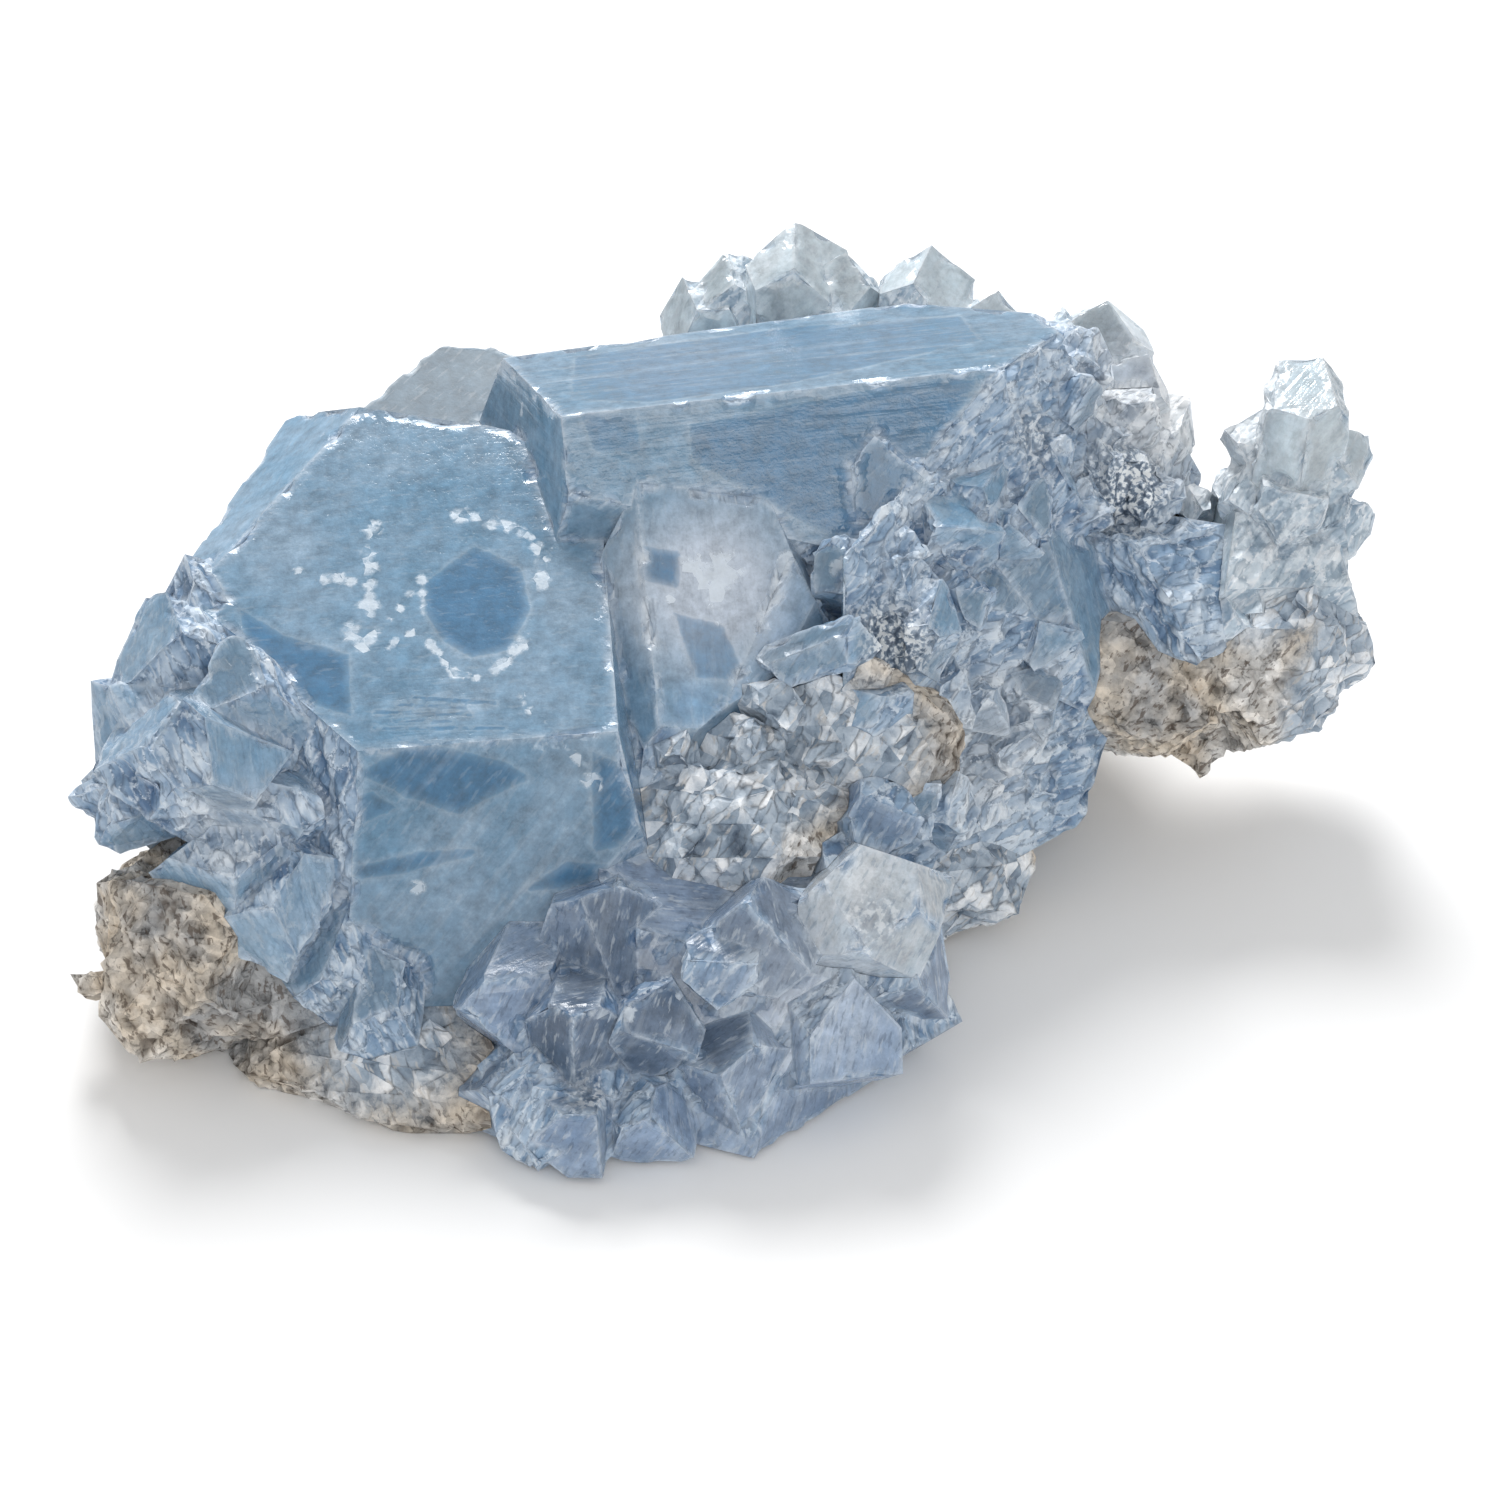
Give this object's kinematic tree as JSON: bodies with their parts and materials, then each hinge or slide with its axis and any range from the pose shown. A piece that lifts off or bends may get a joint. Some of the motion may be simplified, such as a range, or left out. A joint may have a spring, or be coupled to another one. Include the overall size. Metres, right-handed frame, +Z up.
{
  "type": "celestite crystal cluster",
  "caption": "Natural cluster of glassy, pale blue celestite crystals grown on a rind of grainy beige-grey rock, resting on its broad underside.",
  "frame": {"origin": "under the middle of the whole cluster's box, on the surface that it rests on", "axes": "+Z up; the displayed front faces -Y; the long side runs along X, with the great crystal towards -X and the overhanging lobe towards +X"},
  "size_m": [0.1144, 0.082, 0.049],
  "materials": {
    "rock": "rough and grainy",
    "blue_crystal": "glassy natural faces with growth lines and milky veils",
    "frosted_crystal": "partly frosted natural faces",
    "clear_crystal": "clear and glossy",
    "pale_crystal": "nearly clear, with frosted edges",
    "grey_crystal": "milky"
  },
  "bodies": {
    "root": {"matrix": "rock", "main_crystals": "blue_crystal", "front_crystals": "frosted_crystal", "clear_crystal": "clear_crystal", "tower_crystals": "pale_crystal", "back_left_crystal": "grey_crystal", "back_middle_crystals": "pale_crystal", "back_right_crystals": "pale_crystal"}
  },
  "joints": []
}
